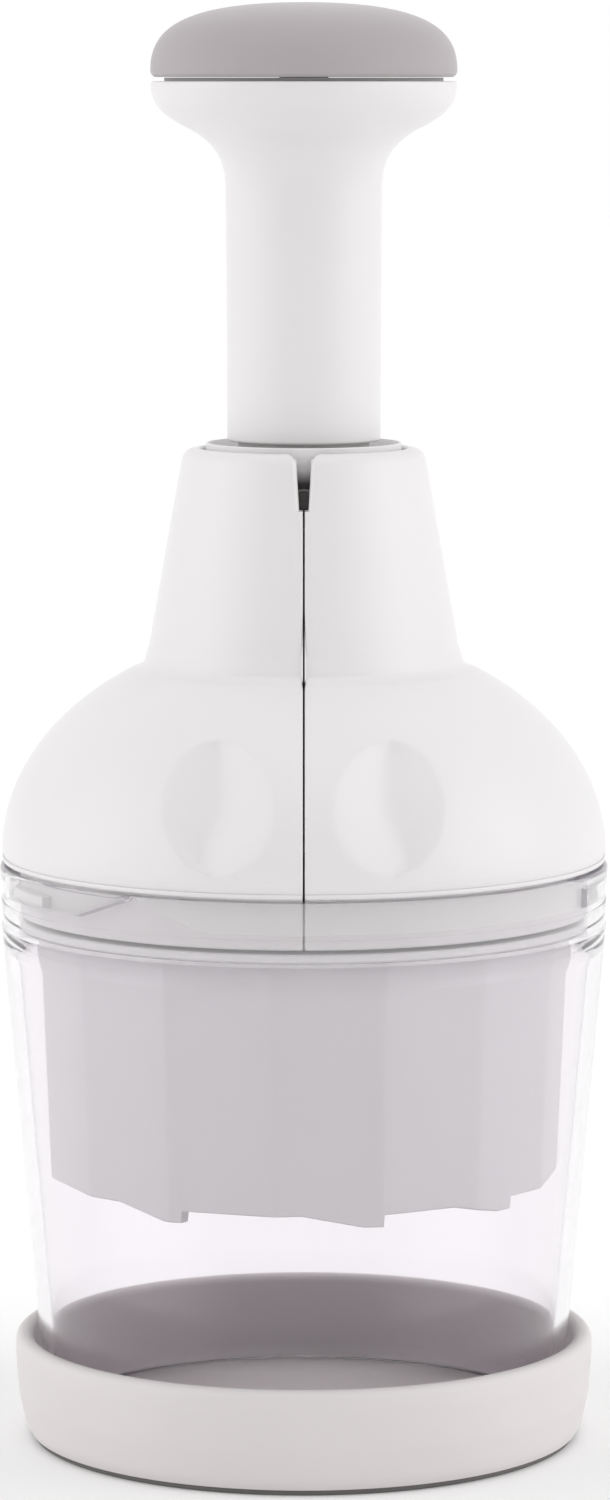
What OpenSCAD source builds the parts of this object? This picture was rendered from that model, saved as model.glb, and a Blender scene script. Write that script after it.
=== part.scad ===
// Hand-push food chopper: palm knob on a sprung column, clamshell head, blade
// guard, clear cup and a base tray. Millimetres, +Z up, front is -Y, origin at
// the centre of the underside.

/* [Knob and column] */
// Radius of the grip pad at its lower edge
pad_r = 26.3; // [25.5:0.1:26.6]
// Height of the pad crown above the table
pad_top_z = 249; // [247:0.5:250]
// Outer radius of the push column at its lower end
column_r = 13.2; // [13:0.1:13.3]
// Radius of the bore of the push column
column_bore_r = 11.75; // [11.7:0.05:11.8]
// Height of the lower end of the column at rest
column_foot_z = 174.4; // [174.2:0.1:174.8]
// Height of the upper end of the white knob
knob_top_z = 235.6; // [235.2:0.1:235.8]

/* [Head] */
// Radius of the dome ellipse
dome_r = 52.4; // [52.2:0.1:52.6]
// Rise of the dome ellipse
dome_rise = 38.5; // [38:0.1:39]
// Height of the dome ellipse's centre
dome_z = 103; // [102.8:0.1:103.2]
// Wall of the two dome shells
shell_wall = 3.2; // [3:0.1:3.4]
// Radius of the neck where it meets the dome
neck_low_r = 27; // [26.8:0.1:27.2]
// Radius of the neck just below its rounded top edge
neck_high_r = 21.4; // [21.2:0.1:21.6]
// Height of the top of the neck
neck_top_z = 173; // [172.8:0.1:173.2]
// Width of the seam between the two shells
seam_w = 0.3; // [0.2:0.05:0.4]
// Height of the hinge pins at the foot of the V notch
hinge_z = 163.5; // [163:0.1:164]
// Half angle of the V notch above the hinge pins
notch_angle = 5.8; // [5.6:0.1:7]

/* [Thumb dimples] */
// Sideways place of a dimple
dimple_x = 14; // [13:0.5:15]
// Height of a dimple's centre
dimple_z = 116; // [115:0.5:117]
// Radius of the ball that the dimple is scooped with
dimple_ball_r = 40; // [36:1:44]
// Depth of a dimple
dimple_depth = 1.9; // [1.5:0.1:2]

/* [Cup] */
// Outer radius of the cup wall carried down to the table
cup_base_r = 44.8; // [44.7:0.05:44.9]
// Draft of the cup wall, radius gained per millimetre of height
cup_draft = 0.0852; // [0.084:0.0002:0.0856]
// Wall of the cup
cup_wall = 2.4; // [2.2:0.1:2.5]
// Height of the cup rim
cup_top_z = 101; // [100.9:0.1:101.1]
// Radius of the collar near the rim
collar_r = 52.8; // [52.7:0.1:53]
// Inner radius of the collar
collar_bore_r = 49.6; // [49.55:0.05:49.7]
// Outer radius of the bayonet pockets in the collar
pocket_r = 51.2; // [51.1:0.05:51.3]

/* [Blade guard] */
// Number of flats around the guard
guard_sides = 15; // [15:1:15]
// Corner radius of the guard at its lower edge
guard_low_r = 44.3; // [44.1:0.1:44.5]
// Corner radius of the guard below its flange
guard_high_r = 46.2; // [46.1:0.1:46.3]
// Height of the guard's lower edge
guard_foot_z = 46.8; // [46.6:0.1:47]
// Depth of the teeth under the guard's lower edge
tooth_depth = 2; // [1.8:0.1:2.2]
// Radius of the guard's flange
guard_flange_r = 49.2; // [49:0.1:49.3]

/* [Base tray] */
// Radius of the tray just under its rim
tray_r = 50.5; // [50.3:0.1:50.7]
// Height of the tray rim
tray_top_z = 18.4; // [18.2:0.1:18.6]
// Height of the tray floor
tray_floor_z = 3.6; // [3.4:0.1:3.8]

/* [Cutting unit] */
// Travel of the knob
stroke = 51.2; // [51:0.1:51.3]
// Turn of the blades over the full travel, in degrees
blade_turn = 45; // [30:1:50]
// Height of the blade tips at rest
blade_tip_z = 55.4; // [55.3:0.05:55.6]
// Thickness of the blade strip
blade_t = 0.6; // [0.5:0.05:0.7]
// Running gap around a blade in its wiper slot
slot_gap = 0.35; // [0.3:0.05:0.4]
// Radius of the blade carrier plate
carrier_r = 39.6; // [39:0.1:39.7]

/* [Spring and shaft] */
// Outer radius of the grooved shaft
shaft_r = 7.6; // [7.4:0.1:7.7]
// Radius at the bottom of the shaft grooves
groove_r = 5.9; // [5.7:0.1:6]
// Number of shaft grooves and follower pins
grooves = 3; // [3:1:3]
// Wire diameter of the return spring
spring_wire = 1.4; // [1.2:0.1:1.4]
// Mean radius of the return spring
spring_r = 8.75; // [8.7:0.05:8.8]
// Turns of the return spring
spring_turns = 16; // [12:1:18]

/* [Hidden] */
$fn = 96;

white = [0.93, 0.92, 0.92];
soft_grey = [0.68, 0.66, 0.67];
inner_grey = [0.72, 0.71, 0.71];
steel = [0.78, 0.79, 0.8];
big = 140;
joint_gap = 0.05;

// heights of the cutting unit, from the blade tips up
wiper_foot_z = guard_foot_z + 0.8;
wiper_z0 = 54;
wiper_z1 = 56.2;
carrier_z0 = wiper_z1 + stroke + 0.4;
carrier_z1 = carrier_z0 + 2.8;
blade_seat = 1.4;
hub_head_z0 = carrier_z0 - 3.2;
hub_washer_z0 = carrier_z0 - 1;
hub_flange_r = 4.5;
wiper_hole_r = 5;
tenon = 7;

// heights of the drive under the frame floor
cage_z0 = 111.6;
retainer_z1 = 113;
washer_z1 = 113.9;
nut_z0 = 114;
nut_z1 = 119.6;
floor_z0 = 120;
floor_z1 = 122.8;
nut_r = 10.8;
cage_r = 13;
cage_bore_r = 11.1;
follower_z = (nut_z0 + nut_z1) / 2;
follower_r = 1;
follower_tip_r = 6.5;
retainer_screw_r = 12.05;

// guides for the column
guide_r = 11.3;
guide_bore_r = 9.9;
guide_top_z = 179.5;
saddle_r = 16.4;
saddle_bore_r = 13.75;
saddle_top_z = 170;
ring_top_z = 173.2;

// shaft and knob plate
shaft_z0 = carrier_z1 + 0.1;
shaft_z1 = 229;
journal_r = 4.2;
plate_z0 = 231.5;
plate_z1 = 236.2;
bush_r = 6.2;
shaft_end_z = 236.4;
turn_per_mm = blade_turn / stroke;
groove_half_w = 1.35;
shaft_bore_r = 1.95;

// hinge lugs, measured outwards from the frame
pin_r = 1.5;
pin_bore_r = pin_r + 0.06;
lug_r = 3;
lug_inner_y = 17.1;
lug_outer_y = 18.3;
lug_t = 1;
boss_y = 16.9;

// shells
skirt_r = 49.2;
skirt_bore_r = 47.1;
skirt_z0 = 93;
dome_edge_z = 101.5;
neck_wall = 2.2;
neck_foot_z = 137.5;
neck_bore_r = 17.8;
hook_r = 45.6;
hook_z1 = 94.4;
hook_half_angle = 60;
lug_angles = [-68, 112];
lug_half_angle = 8;
bayonet_r = 50.8;
lug_z0 = 96.4;
lug_z1 = 98.3;

// guard
guard_flange_z0 = 90.6;
guard_flange_z1 = 92;
guard_tube_r = 45;
guard_bead_r = 46.6;
guard_bead_z0 = 95.5;
guard_top_z = 97;
guard_bore_r = 40.2;
guard_corner_a = 17.3;
tooth_foot_z = guard_foot_z - tooth_depth;
tooth_span = 18;
// steps at the right-hand ends of the teeth, in degrees from the front
tooth_ends = [-27.8, 17.7, 53.6, 117, 162, 207, 252];

// ---- helper shapes -------------------------------------------------------

// point on a cubic curve through p with handles p[1] and p[2]
function bez(p, t) =
    pow(1 - t, 3) * p[0] + 3 * t * pow(1 - t, 2) * p[1]
    + 3 * t * t * (1 - t) * p[2] + pow(t, 3) * p[3];
// n + 1 points along that curve
function curve(p, n) = [for (i = [0:n]) bez(p, i / n)];
// points along a circular arc
function arc(c, r, a0, a1, n) =
    [for (i = [0:n]) c + r * [cos(a0 + (a1 - a0) * i / n), sin(a0 + (a1 - a0) * i / n)]];
// radius of a dome ellipse at a height
function dome_at(r, rise, z) = r * sqrt(1 - pow((z - dome_z) / rise, 2));
// radius of the cup's outer wall at a height
function cup_at(z) = cup_base_r + cup_draft * z;

module ring(r0, r1, z0, z1) {
    difference() {
        translate([0, 0, z0]) cylinder(r = r1, h = z1 - z0);
        translate([0, 0, z0 - 1]) cylinder(r = r0, h = z1 - z0 + 2);
    }
}

// part of a ring, angles counted from the front towards +X
module ring_part(r0, r1, z0, z1, a0, a1) {
    rotate([0, 0, a0 - 90])
        rotate_extrude(angle = a1 - a0)
            translate([r0, z0]) square([r1 - r0, z1 - z0]);
}

// screw standing on its head, thread upwards
module screw(head_r, head_h, thread_r, length) {
    difference() {
        cylinder(r = head_r, h = head_h);
        translate([0, 0, -0.5]) cube([head_r * 1.2, 0.8, 2], center = true);
        translate([0, 0, -0.5]) cube([0.8, head_r * 1.2, 2], center = true);
    }
    translate([0, 0, head_h]) cylinder(r = thread_r, h = length);
}

// ---- base tray -----------------------------------------------------------

module base_tray() {
    wall_top = arc([tray_r - 1.55, tray_top_z - 1.5], 1.5, 0, 180, 10);
    color(white)
        rotate_extrude()
            polygon(concat(
                [[0, 1.2], [43, 1.2], [43, 2.1], [47.6, 2.1], [47.6, 1], [48, 1]],
                curve([[48, 1], [48.6, 1.6], [50, 8], [tray_r, 15.9]], 8),
                wall_top,
                [[47.3, 16], [46.9, tray_floor_z + 2.2]],
                arc([44.7, tray_floor_z + 2.2], 2.2, 0, -90, 5),
                [[0, tray_floor_z]]));
}

module tray_foot_ring() {
    color(soft_grey) ring(43.2, 47.5, 0, 2);
}

// ---- cup -----------------------------------------------------------------

cup_foot_z = tray_floor_z + 0.3;
ledge_z = guard_flange_z0 - 0.2;
ledge_r = 47.6;
slot_z0 = 95.8;
slot_z1 = 98.6;
ramp_turn = 13.5;

module cup_wall_ring() {
    in_at = function(z) cup_at(z) - cup_wall;
    rotate_extrude()
        polygon(concat(
            [[in_at(cup_foot_z), cup_foot_z], [cup_at(cup_foot_z) - 0.4, cup_foot_z],
             [cup_at(cup_foot_z + 0.6), cup_foot_z + 0.6],
             [cup_at(ledge_z), ledge_z], [cup_at(ledge_z) - 0.1, ledge_z + 0.3],
             [collar_r, cup_top_z - 2.4]],
            arc([collar_r - 0.7, cup_top_z - 0.7], 0.7, 0, 90, 5),
            [[collar_bore_r, cup_top_z], [collar_bore_r, ledge_z], [ledge_r, ledge_z],
             [in_at(ledge_z - 2.6), ledge_z - 2.6]]));
}

// pocket that a lug drops into and turns in: roofed from end_a to open_a with its
// floor a touch higher, which holds the lug, open to the rim from there to ramp_a,
// and ramped up to the rim after it
module bayonet_pocket(end_a, open_a, ramp_a) {
    ring_part(collar_bore_r - 1, pocket_r, slot_z0, slot_z1, end_a, open_a + 0.5);
    ring_part(collar_bore_r - 1.2, pocket_r + 0.1, slot_z0 - 0.1, cup_top_z + 1, open_a, ramp_a);
    rotate([0, 0, ramp_a + ramp_turn / 2])
        translate([0, -collar_bore_r + 2, 0])
            rotate([90, 0, 0]) linear_extrude(height = 3) ramp_outline();
}

// side view of the space over a pocket's ramp, its foot a little above the floor
module ramp_outline() {
    half_run = collar_bore_r * ramp_turn * PI / 360;
    foot_z = slot_z0 + 0.4;
    slope = (cup_top_z - foot_z) / (2 * half_run);
    lap = 0.45;
    polygon([[-half_run - lap, foot_z - lap * slope], [half_run + lap, cup_top_z + lap * slope],
             [half_run + lap, cup_top_z + 2], [-half_run - lap, cup_top_z + 2]]);
}

module chopping_cup() {
    color([0.93, 0.92, 0.96, 0.45]) difference() {
        cup_wall_ring();
        bayonet_pocket(-112, -80, -48);
        bayonet_pocket(69, 100, 132);
    }
}

// ---- blade guard ---------------------------------------------------------

// flat-sided taper, solid, from the feet of the teeth into the flange
module guard_taper() {
    rise = guard_flange_z0 + 0.5 - tooth_foot_z;
    low_r = guard_low_r - (guard_high_r - guard_low_r) * tooth_depth / (rise - tooth_depth);
    corners = [for (i = [0:guard_sides - 1])
        let (a = guard_corner_a - 90 + i * 360 / guard_sides) low_r * [cos(a), sin(a)]];
    translate([0, 0, tooth_foot_z])
        linear_extrude(height = rise, scale = guard_high_r / low_r, slices = 1, segments = guard_sides)
            polygon(corners);
}

// space between the teeth, and the slope that leads down each tooth to its step
module tooth_gaps() {
    half = guard_low_r * sin(tooth_span / 2);
    for (i = [0:len(tooth_ends) - 1]) {
        next_end = i + 1 < len(tooth_ends) ? tooth_ends[i + 1] : tooth_ends[0] + 360;
        ring_part(38, 47, tooth_foot_z - 1, guard_foot_z, tooth_ends[i], next_end - tooth_span);
        rotate([0, 0, tooth_ends[i] - tooth_span / 2]) translate([0, -38, 0])
            rotate([90, 0, 0]) linear_extrude(height = 9)
                polygon([[-half - 0.6, guard_foot_z + 0.08], [half - 3.5, tooth_foot_z - 0.3],
                         [-half - 0.6, tooth_foot_z - 0.8]]);
    }
}

module blade_guard() {
    color(white) difference() {
        union() {
            guard_taper();
            cylinder_up(guard_flange_r, guard_flange_z0, guard_flange_z1);
            cylinder_up(guard_tube_r, guard_flange_z1 - 0.5, guard_top_z);
            cylinder_up(guard_bead_r, guard_bead_z0, guard_top_z);
        }
        tooth_gaps();
        rotate_extrude()
            polygon([[0, tooth_foot_z - 2], [guard_bore_r, tooth_foot_z - 2],
                     [guard_bore_r, wiper_z0 - 0.3], [41.25, wiper_z0 - 0.3],
                     [41.25, wiper_z1 + 0.3], [40.45, wiper_z1 + 0.3],
                     [40.45, wiper_z1 + 1.1], [41, wiper_z1 + 1.7],
                     [43.6, guard_top_z + 1], [0, guard_top_z + 1]]);
    }
}

module cylinder_up(r, z0, z1) {
    translate([0, 0, z0]) cylinder(r = r, h = z1 - z0);
}

// ---- blades, carrier and wiper -------------------------------------------

// corners of the three zigzag strips, in plan
centre_path = [[-36.5, -7], [-18, 9], [0, -9.6], [18, 9], [36.5, -7]];
side_path = [[-30, 16.5], [-15, 30], [2, 15.5], [19, 30], [31, 18]];
carrier_spokes = 8;

// strip of thickness t along a path, with square ends
module strip(path, t) {
    for (i = [0:len(path) - 2]) {
        d = path[i + 1] - path[i];
        translate(path[i]) rotate(atan2(d[1], d[0]))
            translate([-t / 2, -t / 2]) square([norm(d) + t, t]);
    }
}

module blade(path) {
    translate([0, 0, blade_tip_z])
        linear_extrude(height = carrier_z0 + blade_seat - blade_tip_z) strip(path, blade_t);
}

module blade_centre() { color(steel) blade(centre_path); }
module blade_left() { color(steel) blade(side_path); }
module blade_right() { color(steel) rotate([0, 0, 180]) blade(side_path); }

module all_strips(t) {
    strip(centre_path, t);
    strip(side_path, t);
    rotate(180) strip(side_path, t);
}

module blade_carrier() {
    color(white) difference() {
        union() {
            cylinder_up(carrier_r, carrier_z0, carrier_z1 - 0.6);
            ring(carrier_r - 2, carrier_r, carrier_z0, carrier_z1);
            cylinder_up(10, carrier_z0, carrier_z1);
        }
        translate([0, 0, carrier_z0 - 1])
            linear_extrude(height = 1 + blade_seat + joint_gap)
                all_strips(blade_t + 2 * joint_gap);
        translate([0, 0, carrier_z0])
            cube([tenon + 0.1, tenon + 0.1, 12], center = true);
        for (i = [0:carrier_spokes - 1])
            rotate([0, 0, 22.5 + i * 360 / carrier_spokes])
                translate([34.5, 0, carrier_z0 - 1]) cylinder(r = 1.6, h = 6);
    }
}

// plate with blade slots and a short rim inside the guard's foot
module wiper_plate() {
    color(white) difference() {
        union() {
            cylinder_up(40.9, wiper_z0, wiper_z1);
            ring(38.4, 39.8, wiper_foot_z, wiper_z0 + 0.5);
        }
        translate([0, 0, wiper_z0 - 1])
            linear_extrude(height = wiper_z1 - wiper_z0 + 2)
                all_strips(blade_t + 2 * slot_gap);
        cylinder_up(wiper_hole_r, wiper_z0 - 1, wiper_z1 + 1);
    }
}

module hub_screw() {
    color(steel) {
        translate([0, 0, hub_head_z0]) screw(3.2, hub_washer_z0 - hub_head_z0, 1.9, 12);
        cylinder_up(hub_flange_r, hub_washer_z0, carrier_z0 - joint_gap);
    }
}

// ---- grooved shaft and return spring ---------------------------------------

module shaft_section() {
    outer_a = asin(groove_half_w / shaft_r);
    inner_a = asin(groove_half_w / groove_r);
    pitch = 360 / grooves;
    polygon([for (g = [0:grooves - 1])
        each concat(
            arc([0, 0], groove_r, g * pitch - inner_a, g * pitch + inner_a, 2),
            arc([0, 0], shaft_r, g * pitch + outer_a, (g + 1) * pitch - outer_a, 6))]);
}

module grooved_shaft() {
    shaft_h = shaft_z1 - shaft_z0;
    color(steel) difference() {
        union() {
            translate([0, 0, shaft_z0])
                linear_extrude(height = shaft_h, twist = turn_per_mm * shaft_h,
                               slices = 40, segments = 27)
                    shaft_section();
            translate([-tenon / 2, -tenon / 2, carrier_z0])
                cube([tenon, tenon, shaft_z0 - carrier_z0 + 0.1]);
            cylinder_up(journal_r, shaft_z1 - 0.1, shaft_end_z);
        }
        cylinder_up(shaft_bore_r, carrier_z0 - 1, carrier_z0 + 12);
        cylinder_up(shaft_bore_r, shaft_end_z - 11, shaft_end_z + 1);
    }
}

spring_z0 = floor_z1 + 0.05;
spring_z1 = plate_z0 - 0.05;

module return_spring() {
    steps = spring_turns * 20;
    sides = 6;
    wire_r = spring_wire / 2;
    pitch_h = (spring_z1 - spring_z0 - spring_wire) / steps;
    pts = [for (i = [0:steps]) for (k = [0:sides - 1])
        let (a = i * 18, b = k * 360 / sides, r = spring_r + wire_r * cos(b))
        [r * cos(a), r * sin(a), spring_z0 + wire_r + i * pitch_h + wire_r * sin(b)]];
    side_faces = [for (i = [0:steps - 1]) for (k = [0:sides - 1])
        let (m = (k + 1) % sides)
        [i * sides + k, (i + 1) * sides + k, (i + 1) * sides + m, i * sides + m]];
    ends = [[for (k = [0:sides - 1]) k],
            [for (k = [sides - 1:-1:0]) steps * sides + k]];
    color(steel) polyhedron(points = pts, faces = concat(side_faces, ends), convexity = 20);
}

// ---- core frame and drive --------------------------------------------------

module core_frame() {
    color(inner_grey) difference() {
        union() {
            ring(guide_bore_r, guide_r, floor_z1 - 0.1, guide_top_z);
            difference() {
                cylinder_up(saddle_r, floor_z0, saddle_top_z);
                cylinder_up(saddle_bore_r, floor_z0 - 1, saddle_top_z + 1);
                translate([0, 0, saddle_top_z - 4]) cylinder(r1 = saddle_bore_r, r2 = 14.7, h = 5);
            }
            cylinder_up(saddle_r, floor_z0, floor_z1);
            ring(cage_bore_r, cage_r, retainer_z1 + 0.1, floor_z0 + 0.1);
            for (s = [-1, 1])
                difference() {
                    translate([0, s * 8, hinge_z]) rotate([-s * 90, 0, 0])
                        cylinder(r = 3.4, h = boss_y - 8);
                    cylinder_up(saddle_bore_r, hinge_z - 10, hinge_z + 10);
                }
        }
        cylinder_up(shaft_r + 0.35, floor_z0 - 1, floor_z1 + 1);
        for (s = [-1, 1])
            translate([0, s * 14.3, hinge_z]) rotate([-s * 90, 0, 0])
                cylinder(r = pin_r + joint_gap, h = 6);
        for (i = [0:2])
            rotate([0, 0, 60 + i * 120]) translate([retainer_screw_r, 0, retainer_z1])
                cylinder(r = 0.55, h = 5.5);
    }
}

module stop_ring() {
    color(soft_grey)
        rotate_extrude()
            polygon([[14.8, saddle_top_z], [saddle_r, saddle_top_z], [saddle_r, ring_top_z - 0.3],
                     [saddle_r - 0.3, ring_top_z], [16, ring_top_z], [14.8, ring_top_z - 1.6]]);
}

module hinge_pin(side) {
    color(steel)
        translate([0, side * 14.35, hinge_z]) rotate([-side * 90, 0, 0])
            cylinder(r = pin_r, h = lug_outer_y + lug_t + 0.1 - 14.35);
}

module hinge_pin_front() { hinge_pin(-1); }
module hinge_pin_rear() { hinge_pin(1); }

module drive_nut() {
    teeth = 12;
    color(inner_grey) difference() {
        ring(shaft_r + 0.35, nut_r, nut_z0, nut_z1);
        for (i = [0:teeth - 1])
            rotate([0, 0, i * 360 / teeth]) translate([7, 0, nut_z1])
                rotate([12, 0, 0]) cube([6, 2.6, 1.2]);
        follower_places() cylinder(r = follower_r + joint_gap, h = 12);
    }
}

// radial frames of the follower pins, each pointing outwards
module follower_places() {
    phase = -turn_per_mm * (follower_z - shaft_z0);
    for (g = [0:grooves - 1])
        rotate([0, 0, phase + g * 360 / grooves])
            translate([follower_tip_r, 0, follower_z]) rotate([0, 90, 0]) children();
}

module follower_pins() {
    color(steel) follower_places() cylinder(r = follower_r, h = nut_r - follower_tip_r - 0.1);
}

module wave_washer() {
    color(steel) ring(8.4, 10.6, retainer_z1 + 0.1, washer_z1);
}

module nut_retainer() {
    color(inner_grey) difference() {
        ring(8.1, cage_r, cage_z0, retainer_z1);
        for (i = [0:2])
            rotate([0, 0, 60 + i * 120])
                translate([retainer_screw_r, 0, cage_z0 - 1]) cylinder(r = 0.6, h = 4);
    }
}

module retainer_screws() {
    color(steel)
        for (i = [0:2])
            rotate([0, 0, 60 + i * 120])
                translate([retainer_screw_r, 0, cage_z0 - 0.65]) {
                    cylinder(r = 0.95, h = 0.6);
                    cylinder(r = 0.5, h = 6);
                }
}

// ---- clamshell shells --------------------------------------------------------

module shell_outside() {
    rotate_extrude()
        polygon(concat(
            [[0, skirt_z0], [skirt_r, skirt_z0], [skirt_r, dome_edge_z],
             [dome_at(dome_r, dome_rise, dome_edge_z) - 0.4, dome_edge_z],
             [dome_at(dome_r, dome_rise, dome_edge_z + 0.4), dome_edge_z + 0.4]],
            [for (a = [0:5:56]) [dome_r * cos(a), dome_z + dome_rise * sin(a)]],
            curve([[29, 135], [27.8, 135.7], [27.2, 136.4], [neck_low_r, neck_foot_z]], 4),
            curve([[neck_high_r, 169], [neck_high_r - 0.4, 171.6], [neck_high_r - 1, 172.6],
                   [neck_high_r - 2.6, 172.75]], 5),
            [[neck_bore_r, neck_top_z], [0, neck_top_z]]));
}

module shell_inside() {
    in_r = dome_r - shell_wall;
    in_rise = dome_rise - shell_wall;
    rotate_extrude()
        polygon(concat(
            [[0, skirt_z0 - 1], [skirt_bore_r, skirt_z0 - 1], [skirt_bore_r, dome_z + 0.6],
             [dome_at(in_r, in_rise, dome_z + 2), dome_z + 2]],
            [for (a = [5:5:56]) [in_r * cos(a), dome_z + in_rise * sin(a)]],
            [[neck_low_r - neck_wall, neck_foot_z - 2], [neck_high_r - neck_wall, 169],
             [neck_high_r - neck_wall - 0.4, 170.8], [neck_bore_r, 171.2],
             [neck_bore_r, neck_top_z + 1], [0, neck_top_z + 1]]));
}

// unit vector square to the dome at a dimple
function dimple_normal(sx, sy) =
    let (y = sqrt(pow(dome_at(dome_r, dome_rise, dimple_z), 2) - dimple_x * dimple_x),
         n = [sx * dimple_x / pow(dome_r, 2), sy * y / pow(dome_r, 2),
              (dimple_z - dome_z) / pow(dome_rise, 2)])
    n / norm(n);

module dimple(sx, sy) {
    y = sqrt(pow(dome_at(dome_r, dome_rise, dimple_z), 2) - dimple_x * dimple_x);
    translate([sx * dimple_x, sy * y, dimple_z]
              + (dimple_ball_r - dimple_depth) * dimple_normal(sx, sy))
        sphere(r = dimple_ball_r);
}

// space that the V notch, the seam and the far side leave free
module half_space(side) {
    translate([side > 0 ? seam_w / 2 : -big - seam_w / 2, -big / 2, 0]) cube([big, big, 200]);
}

module notch_cut(side) {
    translate([side * 0.7, 0, hinge_z]) rotate([0, side * notch_angle, 0])
        translate([side > 0 ? -10 : 0, -big / 2, 0]) cube([10, big, 20]);
    translate([side > 0 ? 0 : -0.7, -big / 2, hinge_z - 0.2]) cube([0.7, big, 1]);
}

// knuckle that turns on a hinge pin; the left shell's sits outside the right's
module hinge_knuckle(side, end) {
    y = side < 0 ? lug_outer_y : lug_inner_y;
    reach = side < 0 ? 9 : 12;
    intersection() {
        translate([0, end * (y + lug_t / 2), hinge_z]) union() {
            rotate([90, 0, 0]) cylinder(r = lug_r, h = lug_t, center = true);
            translate([side * reach / 2, 0, -0.4]) cube([reach, lug_t, 4.6], center = true);
        }
        shell_outside();
    }
}

module shell_half(side) {
    lug_a = side < 0 ? lug_angles[0] : lug_angles[1];
    difference() {
        union() {
            difference() {
                intersection() {
                    shell_outside();
                    half_space(side);
                }
                shell_inside();
                dimple(side, -1);
                dimple(side, 1);
                notch_cut(side);
            }
            intersection() {
                ring(hook_r, skirt_bore_r + 0.5, skirt_z0, hook_z1);
                rotate([0, 0, side > 0 ? -hook_half_angle : 180 - hook_half_angle])
                    rotate_extrude(angle = 2 * hook_half_angle)
                        translate([20, skirt_z0 - 1]) square([40, 6]);
            }
            for (end = [-1, 1]) hinge_knuckle(side, end);
            ring_part(skirt_r - 0.5, bayonet_r, lug_z0, lug_z1,
                      lug_a - lug_half_angle, lug_a + lug_half_angle);
        }
        translate([0, 0, hinge_z]) rotate([90, 0, 0])
            cylinder(r = pin_bore_r, h = 2 * (lug_outer_y + lug_t + 0.3), center = true);
    }
}

module shell_left() { color(white) shell_half(-1); }
module shell_right() { color([0.9, 0.89, 0.9]) shell_half(1); }

// ---- knob ----------------------------------------------------------------

module knob_column() {
    flare = concat(
        curve([[13.4, 217.5], [13.4, 223], [16, 225.6], [20, 227.7]], 8),
        curve([[20, 227.7], [23.5, 229.5], [pad_r - 0.1, 231.2], [pad_r - 0.1, knob_top_z]], 8));
    color(white)
        rotate_extrude()
            polygon(concat(
                [[column_bore_r, column_foot_z]],
                arc([column_r - 1, column_foot_z + 1], 1, -90, 0, 4),
                flare,
                [[pad_r - 2.2, knob_top_z], [pad_r - 2.2, 233.2], [18.5, 230], [column_bore_r, 230]]));
}

module knob_plate() {
    color(inner_grey) difference() {
        union() {
            cylinder_up(column_bore_r - 0.05, plate_z0, 234);
            cylinder_up(pad_r - 2.4, 233.3, plate_z1);
        }
        cylinder_up(bush_r + joint_gap, plate_z0 - 1, plate_z1 + 1);
    }
}

module grip_pad() {
    color(soft_grey)
        rotate_extrude()
            polygon(concat(
                [[0, 240.6], [9, 240.6], [9, plate_z1 + 0.05], [pad_r - 1.4, plate_z1 + 0.05],
                 [pad_r - 0.5, plate_z1 + 0.15]],
                curve([[pad_r, plate_z1 + 0.7], [pad_r + 0.2, 244.4], [21, pad_top_z],
                       [0, pad_top_z]], 14)));
}

module shaft_bush() {
    color("goldenrod") ring(journal_r + 0.06, bush_r, plate_z0, plate_z1);
}

module shaft_washer() {
    color(steel) ring(2.1, 7, shaft_end_z + 0.05, shaft_end_z + 0.9);
}

module shaft_screw() {
    color(steel)
        translate([0, 0, shaft_end_z + 3.4]) rotate([180, 0, 0]) screw(3.4, 2.4, 1.9, 10);
}

// --------------------------------------------------------------------------

base_tray();
tray_foot_ring();
chopping_cup();
blade_guard();
wiper_plate();
core_frame();
stop_ring();
hinge_pin_front();
hinge_pin_rear();
shell_left();
shell_right();
drive_nut();
follower_pins();
wave_washer();
nut_retainer();
retainer_screws();
knob_column();
knob_plate();
grip_pad();
shaft_bush();
shaft_washer();
shaft_screw();
return_spring();
grooved_shaft();
blade_carrier();
blade_centre();
blade_left();
blade_right();
hub_screw();
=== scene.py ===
"""Looks of the push-top food chopper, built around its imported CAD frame.

Every piece is modelled at rest in the frame's own metres. Angles named "phi"
are counted round the Z axis from the front (-Y) towards +X.
"""
import math

import bmesh
import bpy
import numpy as np
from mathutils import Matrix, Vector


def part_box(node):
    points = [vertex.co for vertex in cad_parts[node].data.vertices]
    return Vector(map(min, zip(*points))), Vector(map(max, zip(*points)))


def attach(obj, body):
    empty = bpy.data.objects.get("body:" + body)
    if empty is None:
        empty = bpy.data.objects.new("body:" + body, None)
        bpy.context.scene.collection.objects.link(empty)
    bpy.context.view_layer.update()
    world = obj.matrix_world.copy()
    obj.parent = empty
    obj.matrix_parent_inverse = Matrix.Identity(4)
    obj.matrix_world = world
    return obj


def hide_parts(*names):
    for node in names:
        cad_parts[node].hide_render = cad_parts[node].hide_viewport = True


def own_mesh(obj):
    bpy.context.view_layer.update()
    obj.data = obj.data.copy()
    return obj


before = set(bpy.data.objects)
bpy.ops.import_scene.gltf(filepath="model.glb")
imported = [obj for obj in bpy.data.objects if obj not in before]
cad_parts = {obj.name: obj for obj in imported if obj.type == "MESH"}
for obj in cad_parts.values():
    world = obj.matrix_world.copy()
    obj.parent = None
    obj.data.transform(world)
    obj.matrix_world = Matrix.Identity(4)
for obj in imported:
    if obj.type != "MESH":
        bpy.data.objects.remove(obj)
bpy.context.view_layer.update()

MM = 0.001
TURN = 2 * math.pi
EVEN_ANGLES = [TURN * k / 192 for k in range(192)]


# ---- sizes from the frame, in millimetres -----------------------------------

def low_high(node):
    """Lowest and highest corner of a CAD node in millimetres."""
    low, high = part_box(node)
    return np.array(low) / MM, np.array(high) / MM


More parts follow.
